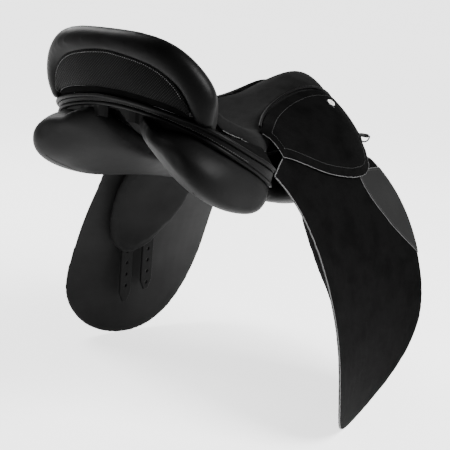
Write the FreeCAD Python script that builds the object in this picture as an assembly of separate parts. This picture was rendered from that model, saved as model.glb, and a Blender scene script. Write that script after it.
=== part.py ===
import FreeCAD, Part
import math
import os

# English dressage saddle with a single-layer flap on each side (a monoflap).
# Millimetres. +X points to the pommel (the horse's head), +Y to the left side, +Z up.
# Heights in this file are above the bottom edge of the flaps. export() lowers everything by
# REST_HEIGHT, so the frame's origin lies on the mid-plane where the panels bear on the horse's back.

REST_HEIGHT = 330.0

# Leather and padding thicknesses
SEAT_LEATHER = 2.4
FLAP_LEATHER = 4.0
SKIRT_LEATHER = 3.0
TRIM_LEATHER = 2.5
PATCH_DEPTH = 1.2
PATCH_STAND = 0.8
STRAP_LEATHER = 3.5
WEB_THICKNESS = 2.5
WEB_INSET = 8.5
TREE_WOOD = 9.0
STEEL = 2.0
GAP = 0.3
CONTACT_GAP = 0.05

# Hinge line shared by each flap and the skirt that lies on it
HINGE_Y = 114.0
HINGE_Z = 405.0
SKIRT_CUT_Y = 112.0
FAR_OUT = 220.0

# Flap surface: distance from the mid-plane as a function of place (see flap_y)
FLAP_TOP_Z = 361.0
FLAP_SPAN_X = 200.0

# Billets (girth straps)
BILLET_WIDTH = 26.0
BILLET_PIVOT_Z = 177.0
BILLET_INSET = 6.6
BILLET_FRONT = {"x": 40.0, "tip_z": 76.0}
BILLET_REAR = {"x": -3.0, "tip_z": 60.0}
BILLET_HOLE_R = 2.5
BILLET_HOLE_TOP_Z = 149.0
BILLET_HOLE_PITCH = 20.0
BILLET_HOLES = 4
BILLET_POINT = 16.0

# Stirrup bars, built in a local frame: x forward, y down the slope of the tree, z off the tree
BAR_ORIGIN = (25.0, 91.0, 390.5)
BAR_SLOPE_DEG = 39.0
BAR_LENGTH = 104.0
BAR_STAND_OFF = 10.0
CATCH_PIN_R = 2.0
PIN_CLEARANCE = 0.05

# Dee rings
DEE_X = 186.0
DEE_Y = 94.0
DEE_Z = 384.0
DEE_WIRE_R = 1.3
DEE_RADIUS = 10.0
DEE_TAB_WIDTH = 14.0
DEE_LOOP_R = 3.2

# Badge buttons
BADGE_R = 6.3
BADGE_DEPTH = 2.0
BEZEL_R = 7.6
BADGE_X = 107.0
BADGE_DOWN = 0.225


# ---------------------------------------------------------------- helpers

def vec(x, y, z):
    return FreeCAD.Vector(x, y, z)


def export(name, shape):
    """Lower the shape to the saddle's frame and write it as parts/NAME.step."""
    placed = shape.copy()
    placed.translate(vec(0, 0, -REST_HEIGHT))
    solids = placed.Solids
    if not solids:
        raise ValueError(name + " holds no solid")
    result = solids[0] if len(solids) == 1 else Part.makeCompound(solids)
    result.exportStep(os.path.join("parts", name + ".step"))
    print(f"{name:24s} solids {len(solids)}  valid {result.isValid()}  volume {result.Volume:10.1f}")


def mirrored(shape):
    """The same piece on the right-hand side of the saddle."""
    return shape.mirror(vec(0, 0, 0), vec(0, 1, 0))


def export_pair(name, left_shape):
    export(name + "_left", left_shape)
    export(name + "_right", mirrored(left_shape))


def spline(points, closed=False):
    curve = Part.BSplineCurve()
    curve.interpolate(points, PeriodicFlag=closed)
    return curve.toShape()


def band(outer, inner):
    """Closed wire between two open splines that run the same way."""
    return Part.Wire([
        spline(outer),
        Part.makeLine(outer[-1], inner[-1]),
        spline(inner[::-1]),
        Part.makeLine(inner[0], outer[0]),
    ])


def loft(wires):
    return Part.makeLoft(wires, True, False)


def side_prism(points, y_low, y_high, closed=True):
    """Solid whose side view is the closed curve through (x, z) points."""
    curve = spline([vec(x, y_low, z) for x, z in points], closed)
    return Part.Face(Part.Wire([curve])).extrude(vec(0, y_high - y_low, 0))


def polygon_prism(points, y_low, y_high):
    """Solid whose side view is the straight-sided polygon of (x, z) points."""
    corners = [vec(x, y_low, z) for x, z in points]
    wire = Part.makePolygon(corners + corners[:1])
    return Part.Face(wire).extrude(vec(0, y_high - y_low, 0))


def box(x, y, z):
    """Box from (low, high) pairs."""
    return Part.makeBox(x[1] - x[0], y[1] - y[0], z[1] - z[0], vec(x[0], y[0], z[0]))


def across(half):
    """(y, z) points from the right edge over the middle to the left edge, from the left half."""
    return [(-y, z) for y, z in half[:0:-1]] + list(half)


def lerp(a, b, t):
    return a + (b - a) * t


def cut_all(shape, tools):
    for tool in tools:
        shape = shape.cut(tool)
    return shape


def largest(shape):
    """The main solid of a shape that trimming left in several pieces."""
    return max(shape.Solids, key=lambda solid: solid.Volume)


# ---------------------------------------------------------------- flaps

def flap_y(x, z):
    """Distance of the flap's outer face from the mid-plane."""
    s = (FLAP_TOP_Z - z) / FLAP_TOP_Z
    u = x / FLAP_SPAN_X
    drop = 138.2 + 256.1 * s - 119.0 * s ** 2 - 37.3 * s ** 3
    sweep = -19.6 * u - 29.7 * u * s - 2.5 * u * s ** 2
    wrap = 14.9 * u ** 2 + 20.2 * u ** 2 * s
    return drop + sweep + wrap


FLAP_OUTLINE = [
    (-127, 357), (-96, 304), (-89, 225), (-91, 143), (-89, 71), (-58, 22), (0, 1),
    (71, 13), (139, 56), (185, 123), (195, 206), (186, 292), (149, 356),
]
FLAP_TOP = [(128, 366), (105, 380), (60, 391), (0, 392), (-50, 388), (-84, 375)]
BAR_RECESS = {"x": (-34.0, 98.0), "z": (372.0, 400.0)}
PATCH_SEAM = [(97, 336), (102, 316), (111, 301), (126, 282), (146, 260), (169, 240), (196, 217)]

LAYER_X = [-140, -100, -60, -20, 20, 60, 100, 140, 175, 205]
LAYER_Z = [-6, 20, 60, 110, 160, 210, 260, 300, 335, 365, 398]


def flap_layer(out_from, out_to):
    """Sheet that follows the flap, between two distances out from its outer face."""
    wires = []
    for z in LAYER_Z:
        outer = [vec(x, flap_y(x, z) + out_to, z) for x in LAYER_X]
        inner = [vec(x, flap_y(x, z) + out_from, z) for x in LAYER_X]
        wires.append(band(outer, inner))
    return loft(wires)


def flap_outline_prism():
    visible = spline([vec(x, 60, z) for x, z in FLAP_OUTLINE])
    hidden_points = [FLAP_OUTLINE[-1]] + FLAP_TOP + [FLAP_OUTLINE[0]]
    hidden = Part.makePolygon([vec(x, 60, z) for x, z in hidden_points])
    return Part.Face(Part.Wire([visible] + hidden.Edges)).extrude(vec(0, 240, 0))


def make_flap():
    """One flap and the smooth knee patch let into its front edge."""
    outline = flap_outline_prism()
    recess = box(BAR_RECESS["x"], (60, 300), BAR_RECESS["z"])
    sheet = flap_layer(-FLAP_LEATHER, 0).common(outline).cut(recess)
    seam = spline([vec(x, 60, z) for x, z in PATCH_SEAM])
    start, end = PATCH_SEAM[0], PATCH_SEAM[-1]
    corners = [end, (230, end[1]), (230, 345), (start[0], 345), start]
    rest = Part.makePolygon([vec(x, 60, z) for x, z in corners])
    region = Part.Face(Part.Wire([seam] + rest.Edges)).extrude(vec(0, 240, 0))
    edge_margin = outline.common(box((60, 230), (60, 300), (200, 345)))
    patch = flap_layer(-PATCH_DEPTH, PATCH_STAND).common(region).common(edge_margin)
    return sheet.cut(patch), patch


# ---------------------------------------------------------------- seat

# Stations along the seat: x, height on the mid-plane, half width and height of the rim,
# half width and height of the lower edge of the seat leather.
SEAT = [
    {"x": -251, "mid": 498, "rim": (56, 500), "edge": (62, 488)},
    {"x": -232, "mid": 470, "rim": (106, 474), "edge": (113, 462)},
    {"x": -205, "mid": 440, "rim": (124, 436), "edge": (131, 416)},
    {"x": -160, "mid": 417, "rim": (124, 417), "edge": (135, 399)},
    {"x": -125, "mid": 406, "rim": (114, 409), "edge": (134, 384)},
    {"x": -97, "mid": 404, "rim": (98, 406), "edge": (121, 382)},
    {"x": -45, "mid": 414, "rim": (66, 417), "edge": (88, 401)},
    {"x": 12, "mid": 437, "rim": (42, 433), "edge": (54, 421)},
    {"x": 66, "mid": 461, "rim": (38, 449), "edge": (49, 437)},
    {"x": 114, "mid": 474, "rim": (42, 451), "edge": (52, 440)},
    {"x": 150, "mid": 466, "rim": (40, 443), "edge": (49, 432)},
    {"x": 167, "mid": 450, "rim": (33, 431), "edge": (40, 422)},
]


def seat_path(station, depth):
    """Half cross-section of the seat at a depth below its surface, from the middle outwards."""
    rim_y, rim_z = station["rim"]
    edge_y, edge_z = station["edge"]
    mid = station["mid"]
    points = []
    for t in (0.0, 0.3, 0.6, 0.85):
        height = mid + (rim_z - mid) * t ** 1.8
        points.append((rim_y * t, height - depth))
    diagonal = depth * 0.75
    points.append((rim_y - diagonal * 0.6, rim_z - diagonal))
    points.append((lerp(rim_y, edge_y, 0.75) - diagonal, lerp(rim_z, edge_z, 0.45) - diagonal * 0.5))
    points.append((edge_y - diagonal, edge_z))
    return points


def seat_wire(station, depth_low, depth_high):
    x = station["x"]
    outer = [vec(x, y, z) for y, z in across(seat_path(station, depth_low))]
    inner = [vec(x, y, z) for y, z in across(seat_path(station, depth_high))]
    return band(outer, inner)


def make_seat_cover():
    return loft([seat_wire(station, 0, SEAT_LEATHER) for station in SEAT])


# ---------------------------------------------------------------- tree

# Half cross-sections of the tree's upper face: x, then (y, z) from the middle outwards.
TREE = [
    (-262, [(0, 486), (20, 486), (33, 485), (43, 484)]),
    (-248, [(0, 474), (22, 475), (40, 477), (52, 479)]),
    (-232, [(0, 449), (40, 450), (75, 452), (98, 455)]),
    (-205, [(0, 419), (45, 419), (90, 417), (118, 411)]),
    (-160, [(0, 396), (50, 397), (95, 396), (124, 388)]),
    (-97, [(0, 383), (40, 384), (80, 384), (106, 375)]),
    (-45, [(0, 394), (36, 395), (72, 393), (100, 377)]),
    (12, [(0, 417), (30, 416), (68, 406), (98, 382)]),
    (66, [(0, 440), (30, 435), (68, 408), (98, 382)]),
    (114, [(0, 452), (30, 441), (67, 409), (96, 379)]),
    (144, [(0, 447), (30, 437), (65, 406), (92, 374)]),
]
TREE_SLOT = {"x": (-188.0, 72.0), "y": (-26.0, 26.0)}
WEB_STACK = 3.4


def offset_path(points, depth):
    """Path moved inwards by depth, square to itself."""
    moved = []
    for i, (y, z) in enumerate(points):
        before = points[max(i - 1, 0)]
        after = points[min(i + 1, len(points) - 1)]
        run = after[0] - before[0]
        rise = after[1] - before[1]
        length = math.hypot(run, rise)
        moved.append((y + depth * rise / length, z - depth * run / length))
    return moved


def tree_wire(station, depth_low, depth_high):
    x, half = station
    path = across(half)
    outer = [vec(x, y, z) for y, z in offset_path(path, depth_low)]
    inner = [vec(x, y, z) for y, z in offset_path(path, depth_high)]
    return band(outer, inner)


def tree_layer(depth_low, depth_high, stations=TREE):
    """Sheet that follows the tree, between two depths below its upper face."""
    return loft([tree_wire(station, depth_low, depth_high) for station in stations])


def make_foam():
    """Seat foam between the seat leather and the webbing on the tree."""
    wires = []
    for seat, (x, half) in zip(FOAM_SEAT, FOAM_TREE):
        top_half = [(y * 0.93, z) for y, z in seat_path(seat, SEAT_LEATHER + GAP + 0.3)[:5]]
        low_half = offset_path(across(half), -WEB_STACK)
        width = top_half[-1][0]
        low = [(width * t, low_height(low_half, width * t)) for t in (-1, -0.7, -0.4, 0, 0.4, 0.7, 1)]
        outer = [vec(x, y, z) for y, z in across(top_half)]
        inner = [vec(x, y, z) for y, z in low]
        wires.append(band(outer, inner))
    return loft(wires)


def low_height(path, y):
    """Height of a left-to-right path at a given y, on straight lines between its points."""
    for (y0, z0), (y1, z1) in zip(path, path[1:]):
        if y0 <= y <= y1:
            return lerp(z0, z1, (y - y0) / (y1 - y0))
    return path[-1][1]


def seat_station_at(x):
    """Seat station between the listed ones."""
    for a, b in zip(SEAT, SEAT[1:]):
        if a["x"] <= x <= b["x"]:
            t = (x - a["x"]) / (b["x"] - a["x"])
            return {
                "x": x,
                "mid": lerp(a["mid"], b["mid"], t),
                "rim": (lerp(a["rim"][0], b["rim"][0], t), lerp(a["rim"][1], b["rim"][1], t)),
                "edge": (lerp(a["edge"][0], b["edge"][0], t), lerp(a["edge"][1], b["edge"][1], t)),
            }
    raise ValueError("x is off the seat")


FOAM_TREE = TREE[1:]
FOAM_SEAT = [seat_station_at(x) for x, half in FOAM_TREE]


def make_tree_parts():
    """The laminated tree and the steel and webbing fastened to it."""
    slot = box(TREE_SLOT["x"], TREE_SLOT["y"], (300, 520))
    tree = tree_layer(0, TREE_WOOD).cut(slot)
    under = tree_layer(TREE_WOOD + CONTACT_GAP, TREE_WOOD + STEEL)
    spring = under.common(box((-212, 108), (40, 58), (300, 520)))
    cantle_plate = under.common(box((-246, -218), (-84, 84), (300, 520)))
    long_web = tree_layer(-1.6, 0)
    long_web = long_web.common(box((-206, 104), (-22, 22), (300, 520)))
    cross_layer = tree_layer(-3.2, -1.6)
    cross_web = cross_layer.common(box((-30, 20), (-56, 56), (300, 520)))
    cross_web = cross_web.fuse(cross_layer.common(box((-130, -80), (-80, 80), (300, 520))))
    return tree, spring, cantle_plate, long_web, cross_web


# Gullet plate: arch under the tree's head, with points down to each side
ARCH = [(0, 436.4), (28, 426.5), (60, 398.6), (86, 369), (103, 350), (121, 328), (134, 305)]
ARCH_X = (117.0, 141.0)
RIVET_R = 3.0
RIVET_DEPTH = 14.5
RIVET_X = 129.0
RIVET_LENGTH = 24.0
RIVET_PLACES = ((22, 435, 17), (56, 406, 44))      # y, z and lean from upright in degrees


def arch_plate(half, thickness, x_range):
    """Bent plate whose front view follows the arch."""
    path = across(half)
    outer = [vec(x_range[0], y, z) for y, z in path]
    inner = [vec(x_range[0], y, z) for y, z in offset_path(path, thickness)]
    return Part.Face(band(outer, inner)).extrude(vec(x_range[1] - x_range[0], 0, 0))


def make_head_rivets():
    """Four rivets through the tree and the gullet plate, square to the arch."""
    rivets = []
    for y, z, lean in RIVET_PLACES:
        axis = vec(0, math.sin(math.radians(lean)), math.cos(math.radians(lean)))
        foot = vec(RIVET_X, y, z) - axis * RIVET_LENGTH * 0.6
        rivets.append(Part.makeCylinder(RIVET_R, RIVET_LENGTH, foot, axis))
    return rivets + [mirrored(rivet) for rivet in rivets]


# ---------------------------------------------------------------- cantle

# Half stations of the cantle roll, middle to lower end. Each lists the inset's edge, three points
# over the outside of the roll, the seam with the seat leather and the underside.
ROLL = [
    [(-286, 0, 502), (-291, 0, 516), (-282, 0, 526),
     (-268, 0, 523), (-257, 0, 507), (-271, 0, 499)],
    [(-284, 48.4, 497), (-290, 50.3, 513), (-281, 50.3, 525),
     (-265, 47.4, 520), (-253, 42.6, 503), (-268, 43.6, 494)],
    [(-276, 90, 484), (-283, 97.8, 500), (-272, 101.6, 513),
     (-255, 95.8, 510), (-243, 83.2, 491), (-259, 81.3, 481)],
    [(-266, 114.2, 462), (-271, 125.8, 474), (-259, 132.6, 487),
     (-242, 126.8, 487), (-231, 108.4, 472), (-248, 104.5, 462)],
    [(-257, 122.9, 440), (-259, 138.4, 449), (-247, 147.1, 458),
     (-231, 142.3, 457), (-220, 125.8, 447), (-237, 118.1, 440)],
    [(-253, 124.9, 432), (-255, 138.4, 438), (-245, 147.1, 443),
     (-230, 142.3, 441), (-217, 131.6, 431), (-234, 122.9, 429)],
    [(-250, 125.8, 424), (-250, 134.6, 424), (-240, 140.4, 420),
     (-230, 137.5, 416), (-220, 131.6, 412), (-230, 124.9, 416)],
]

# Lower edge of the inset, middle outwards, one point per roll station but the last
INSET_FOOT = [(-271, 0, 452), (-270, 46, 450), (-265, 84, 445), (-259, 107, 439), (-254, 119, 432)]
INSET_BULGE = 2.0
INSET_TUCK = 1.5
BAND_FOOT_X = (-267, -263.5, -257.5, -252, -248)
BAND_FOOT_Z = (440, 437.5, 431.5, 427.5, 424)


def mirror_stations(half):
    """Stations from the right end over the middle to the left end."""
    right = [[(x, -y, z) for x, y, z in station] for station in half[:0:-1]]
    return right + [list(station) for station in half]


def make_roll():
    wires = []
    for station in mirror_stations(ROLL):
        wires.append(Part.Wire([spline([vec(*p) for p in station], True)]))
    return loft(wires)


def cantle_sheet(setback, thickness):
    """Sheet across the back of the cantle between the roll and the rail."""
    half = []
    for roll_station, foot in zip(ROLL, INSET_FOOT):
        half.append([roll_station[0], foot])
    wires = []
    for top, foot in mirror_stations(half):
        rows = []
        for extra in (setback, setback + thickness):
            a = vec(top[0] + extra, top[1], top[2] - INSET_TUCK)
            b = vec(foot[0] + extra, foot[1], foot[2])
            middle = (a + b) * 0.5 - vec(INSET_BULGE, 0, 0)
            rows.append([a, middle, b])
        wires.append(band(rows[0], rows[1]))
    return loft(wires)


def make_cantle_band():
    """Plain leather band between the foot of the inset and the upper welt."""
    half = []
    for foot, welt_x, welt_z in zip(INSET_FOOT, BAND_FOOT_X, BAND_FOOT_Z):
        half.append([(foot[0] + 1.5, foot[1], foot[2] + 3), (welt_x, foot[1], welt_z)])
    wires = []
    for top, foot in mirror_stations(half):
        inward = vec(TRIM_LEATHER, 0, 0)
        corners = [vec(*top), vec(*foot), vec(*foot) + inward, vec(*top) + inward]
        wires.append(Part.makePolygon(corners + corners[:1]))
    return loft(wires)


# ---------------------------------------------------------------- rail round the back of the saddle

# Half paths of the two welts, middle outwards
UPPER_WELT = [
    (-268, 0, 441), (-265, 40, 439), (-257, 92, 431), (-249, 119, 425), (-236, 141, 417),
    (-205, 159, 400), (-165, 164.5, 381), (-131, 161, 365),
]
LOWER_WELT = [
    (-263, 0, 431.5), (-260, 40, 429), (-252, 92, 420), (-245, 119, 412.5), (-233, 140, 402),
    (-203, 158, 383), (-164, 163, 362), (-132, 158.5, 345),
]
UPPER_WELT_R = 3.3
LOWER_WELT_R = 2.9


def tube(path, radius):
    """Round piping along a path, lofted through circles square to it."""
    wires = []
    for i, point in enumerate(path):
        before = path[max(i - 1, 0)]
        after = path[min(i + 1, len(path) - 1)]
        circle = Part.makeCircle(radius, point, after - before)
        wires.append(Part.Wire([circle]))
    return Part.makeLoft(wires, True, False)


def rail_path(half):
    full = [(x, -y, z) for x, y, z in half[:0:-1]] + list(half)
    return [vec(*p) for p in full]


def make_facing():
    """Stitched strip between the two welts."""
    wires = []
    upper = rail_path(UPPER_WELT)
    lower = rail_path(LOWER_WELT)
    for i, (high, low) in enumerate(zip(upper, lower)):
        along = upper[min(i + 1, len(upper) - 1)] - upper[max(i - 1, 0)]
        inward = along.cross(high - low)
        inward.normalize()
        corners = [high, low, low + inward * TRIM_LEATHER, high + inward * TRIM_LEATHER]
        wires.append(Part.makePolygon(corners + corners[:1]))
    return loft(wires)


# Side piece between the roll, the rail and the skirt: upper and lower edge at each station
SIDE_PIECE = [
    {"x": -214, "top": (139, 412), "low": (149, 407.5)},
    {"x": -190, "top": (140, 407), "low": (159, 396)},
    {"x": -160, "top": (139, 399), "low": (161, 381.5)},
    {"x": -128, "top": (135, 391), "low": (158, 367)},
]


def make_side_piece():
    wires = []
    for station in SIDE_PIECE:
        x = station["x"]
        (top_y, top_z), (low_y, low_z) = station["top"], station["low"]
        middle = ((top_y + low_y) / 2 + 1.5, (top_z + low_z) / 2 + 1.5)
        outer = [(top_y, top_z), middle, (low_y, low_z)]
        inner = [(y - TRIM_LEATHER * 0.6, z - TRIM_LEATHER) for y, z in outer]
        wires.append(band([vec(x, y, z) for y, z in outer], [vec(x, y, z) for y, z in inner]))
    return loft(wires)


# ---------------------------------------------------------------- skirts

# Stations of the skirt: x, top and lower edge as (y, z), and the height of its dome
SKIRT = [
    {"x": -104, "top": (106, 402), "low": (145, 379), "dome": 5},
    {"x": -88, "top": (99, 411), "low": (144, 374), "dome": 7},
    {"x": -45, "top": (70, 421), "low": (145, 364), "dome": 13},
    {"x": 12, "top": (46.5, 435.5), "low": (153, 345), "dome": 16},
    {"x": 66, "top": (42.5, 451), "low": (155, 336), "dome": 16},
    {"x": 114, "top": (46, 453.5), "low": (152, 336), "dome": 15},
    {"x": 145, "top": (44, 445.5), "low": (139, 345), "dome": 11},
    {"x": 170, "top": (38, 431), "low": (118, 356), "dome": 8},
]
SKIRT_OUTLINE_LOW = [
    (-88, 375), (-51, 366), (-19, 355.5), (14, 346), (51, 339), (92, 336), (117, 340), (136, 351),
]
SKIRT_OUTLINE_FRONT = [(150, 368), (159, 392), (163, 418), (160, 441)]
SKIRT_WELT_R = 2.2
SKIRT_BACKING = 12.0
SKIRT_TURN_R = 5.0


def skirt_point(station, t, depth):
    """Point on the skirt: t runs from the top edge to the lower edge."""
    (top_y, top_z), (low_y, low_z) = station["top"], station["low"]
    length = math.hypot(low_y - top_y, low_z - top_z)
    out_y, out_z = (top_z - low_z) / length, (low_y - top_y) / length
    rise = station["dome"] * 4 * t * (1 - t)
    lean = station["dome"] * 4 * (1 - 2 * t) / length
    normal = vec(0, out_y, out_z) + vec(0, -out_z, out_y) * lean
    normal.normalize()
    y = lerp(top_y, low_y, t) + rise * out_y
    z = lerp(top_z, low_z, t) + rise * out_z
    return vec(station["x"], y, z) - normal * depth


def skirt_station_at(x):
    """Skirt station between the listed ones."""
    for a, b in zip(SKIRT, SKIRT[1:]):
        if a["x"] <= x <= b["x"]:
            t = (x - a["x"]) / (b["x"] - a["x"])
            pairs = {key: tuple(lerp(a[key][i], b[key][i], t) for i in (0, 1)) for key in ("top", "low")}
            return {"x": x, "dome": lerp(a["dome"], b["dome"], t), **pairs}
    raise ValueError("x is off the skirt")


SKIRT_STEPS = (0.03, 0.15, 0.3, 0.5, 0.7, 0.85, 1.0, 1.06)


SKIRT_X = (-150, 220)
SKIRT_Z = (300, 520)
SKIRT_TOP_CORNERS = [(150, 480), (-98, 480), (-98, 400)]


def make_skirt():
    """The skirt's sewn upper part and the lower part that lifts."""
    wires = []
    for station in SKIRT:
        outer = [skirt_point(station, t, 0) for t in SKIRT_STEPS]
        inner = [skirt_point(station, t, SKIRT_LEATHER) for t in SKIRT_STEPS]
        wires.append(band(outer, inner))
    sheet = loft(wires)
    lower_edge = spline([vec(x, 0, z) for x, z in SKIRT_OUTLINE_LOW + SKIRT_OUTLINE_FRONT])
    corners = [SKIRT_OUTLINE_FRONT[-1]] + SKIRT_TOP_CORNERS + [SKIRT_OUTLINE_LOW[0]]
    rest = Part.makePolygon([vec(x, 0, z) for x, z in corners])
    outline = Part.Face(Part.Wire([lower_edge] + rest.Edges)).extrude(vec(0, FAR_OUT, 0))
    sheet = sheet.common(outline)
    fixed = sheet.common(box(SKIRT_X, (0, SKIRT_CUT_Y - GAP), SKIRT_Z))
    hinge_end = vec(SKIRT_X[0], HINGE_Y, HINGE_Z)
    fixed = fixed.cut(Part.makeCylinder(SKIRT_TURN_R, SKIRT_X[1] - SKIRT_X[0], hinge_end, vec(1, 0, 0)))
    lifting = sheet.common(box(SKIRT_X, (SKIRT_CUT_Y, FAR_OUT), SKIRT_Z))
    return fixed, lifting


def make_skirt_welt():
    """Piping along the top edge of the skirt."""
    path = []
    for station in SKIRT[1:]:
        path.append(skirt_point(station, -0.005, 0.6))
    return tube(path, SKIRT_WELT_R)


# ---------------------------------------------------------------- panels

# Sections of the left panel: x, then (y, z) round the cushion from the gullet side's top
PANEL = [
    (-276, [(74, 412), (77, 404), (92, 393), (110, 382), (128, 372),
            (138, 371), (140, 379), (131, 392), (104, 405)]),
    (-269, [(56, 417.8), (58, 407), (79, 391), (105, 375), (132, 360),
            (150, 359), (153, 372), (141, 391), (102, 408)]),
    (-255, [(40, 419.6), (40, 407), (62, 385), (95, 363), (132, 346),
            (160, 347), (164, 363), (148, 392), (95, 413.6)]),
    (-230, [(36, 409), (36, 392), (60, 369), (95, 349), (135, 331),
            (166, 333), (170.5, 354), (154, 388.4), (95, 404.2)]),
    (-195, [(34, 391), (36, 374), (60, 353), (95, 335), (138, 317),
            (167, 321), (172, 346), (159, 373.8), (95, 389)]),
    (-160, [(34, 374), (36, 359), (60, 341), (95, 325), (138, 310),
            (165, 315), (171, 338), (162, 355.2), (95, 373)]),
    (-138, [(34, 370), (36, 354), (60, 335), (95, 320), (132, 310),
            (153, 316), (161, 335), (154, 346.2), (95, 365)]),
    (-115, [(34, 366), (36, 350), (60, 332), (90, 318), (118, 311),
            (135, 318), (138, 331), (128, 345), (90, 360)]),
    (-60, [(34, 372), (36, 346), (60, 328), (88, 313), (112, 304),
           (130, 311), (133, 328), (121, 346), (88, 365)]),
    (0, [(36, 380), (38, 350), (62, 330), (88, 314), (110, 300),
         (129, 305), (131, 324), (116, 347), (84, 370)]),
    (60, [(40, 386), (42, 354), (64, 332), (90, 312), (110, 290),
          (127, 294), (128, 314), (110, 346), (82, 374)]),
    (110, [(46, 388), (48, 358), (68, 332), (90, 306), (110, 276),
           (122, 280), (121, 303), (104, 340), (80, 372)]),
    (132, [(58, 378), (60, 358), (74, 335), (92, 309), (108, 284),
           (118, 287), (117, 303), (102, 335), (82, 364)]),
]

LOBE_OUTLINE = [
    (-67, 264), (-61, 229), (-50, 194), (-41, 173), (-28, 157), (-16, 151), (1, 153),
    (31, 165), (46, 179), (62, 195), (75, 216), (82, 240), (88, 270), (92, 305), (20, 322), (-60, 312),
]
LOBE_OUT = -14.5
LOBE_IN = -28.0
LOBE_TUCK_Z = 262.0
LOBE_TUCK = 0.0015


def make_panel():
    wires = []
    for x, ring in PANEL:
        (inner_y, inner_z), (outer_y, outer_z) = ring[0], ring[-1]
        crown = ((inner_y + outer_y) / 2, (inner_z + outer_z) / 2)
        wires.append(Part.Wire([spline([vec(x, y, z) for y, z in ring + [crown]], True)]))
    return loft(wires)


def make_lobe():
    """Padded lower lobe that hangs from the panel inside the flap."""
    wires = []
    for z in (145, 165, 190, 220, 250, 280, 305, 325):
        tuck = LOBE_TUCK * max(0.0, z - LOBE_TUCK_Z) ** 2
        outer = []
        inner = []
        for x in (-80, -45, -10, 25, 60, 100):
            face = flap_y(x, max(z, BILLET_PIVOT_Z))
            outer.append(vec(x, face + LOBE_OUT - tuck, z))
            inner.append(vec(x, face + LOBE_IN, z))
        wires.append(band(outer, inner))
    return loft(wires).common(side_prism(LOBE_OUTLINE, 60, 300))


# Gullet lining: x and the height of its upper face on the mid-plane
LINING = [
    (-256, 428), (-235, 431), (-205, 406), (-160, 383), (-97, 370), (-45, 381), (12, 400), (66, 416),
    (112, 428),
]
LINING_HALF_WIDTH = 31.0
LINING_SAG = 4.0


def make_lining():
    wires = []
    for x, z in LINING:
        shoulder = (LINING_HALF_WIDTH * 0.55, z - LINING_SAG * 0.3)
        half = [(0, z), shoulder, (LINING_HALF_WIDTH, z - LINING_SAG)]
        outer = [vec(x, y, h) for y, h in across(half)]
        inner = [vec(x, y, h - TRIM_LEATHER) for y, h in across(half)]
        wires.append(band(outer, inner))
    return loft(wires)


# Pommel facing: leather arch that closes the front of the head
FACING_OUTER = [(0, 449), (22, 443), (40, 427), (58, 404), (72, 382), (82, 362)]
FACING_INNER = [(0, 432), (20, 427), (38, 410), (50, 390), (60, 372), (67, 355)]
FACING_X = (146.0, 160.0)


def make_pommel_facing():
    outer = [vec(FACING_X[0], y, z) for y, z in across(FACING_OUTER)]
    inner = [vec(FACING_X[0], y, z) for y, z in across(FACING_INNER)]
    return Part.Face(band(outer, inner)).extrude(vec(FACING_X[1] - FACING_X[0], 0, 0))


# ---------------------------------------------------------------- billets

def billet_y(spec):
    """Distance of a billet's middle from the mid-plane, clear of the flap along its front edge."""
    return flap_y(spec["x"] + BILLET_WIDTH / 2, BILLET_PIVOT_Z) - BILLET_INSET


def make_billet(spec):
    """Free lower end of a girth strap: rounded top, pointed tip, a row of buckle holes."""
    half = BILLET_WIDTH / 2
    x, tip = spec["x"], spec["tip_z"]
    middle = billet_y(spec)
    y_low = middle - STRAP_LEATHER / 2
    outline = [
        (x - half, BILLET_PIVOT_Z), (x - half, tip + BILLET_POINT), (x - half * 0.35, tip),
        (x + half * 0.35, tip), (x + half, tip + BILLET_POINT), (x + half, BILLET_PIVOT_Z),
    ]
    strap = polygon_prism(outline, y_low, y_low + STRAP_LEATHER)
    knuckle = Part.makeCylinder(
        STRAP_LEATHER / 2, BILLET_WIDTH, vec(x - half, middle, BILLET_PIVOT_Z), vec(1, 0, 0))
    strap = strap.fuse(knuckle)
    for i in range(BILLET_HOLES):
        z = BILLET_HOLE_TOP_Z - i * BILLET_HOLE_PITCH
        strap = strap.cut(Part.makeCylinder(BILLET_HOLE_R, 20, vec(x, y_low - 5, z), vec(0, 1, 0)))
    return strap.removeSplitter()


def make_billet_webs():
    """Webbing that carries both billets, between the lobe and the flap."""
    low = -WEB_INSET - WEB_THICKNESS / 2
    layer = flap_layer(low, low + WEB_THICKNESS)
    half = BILLET_WIDTH / 2
    bottom = BILLET_PIVOT_Z + STRAP_LEATHER / 2 + GAP
    strips = []
    for spec in (BILLET_REAR, BILLET_FRONT):
        x = (spec["x"] - half, spec["x"] + half)
        strips.append(layer.common(box(x, (60, 300), (bottom, 371))))
    return Part.makeCompound(strips)


# ---------------------------------------------------------------- stirrup bars

def bar_placement():
    """Local bar frame: x forward, y down the slope of the tree's side, z away from the tree."""
    turn = FreeCAD.Rotation(vec(1, 0, 0), -BAR_SLOPE_DEG)
    return FreeCAD.Placement(vec(*BAR_ORIGIN), turn)


def place_bar(shape):
    placed = shape.copy()
    placed.Placement = bar_placement().multiply(placed.Placement)
    return placed


BAR_PLATE = {"x": (-62.0, 64.0), "y": (-7.0, 7.0), "z": (-2.5, 0.0)}
BAR_ROD_Y = (-4.0, 4.0)
BAR_ROD_HEIGHT = 5.0
BAR_LEG_X = (46.0, 56.0)
CATCH_PIVOT_X = -56.0
CATCH_EAR_Z = 9.0


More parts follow.
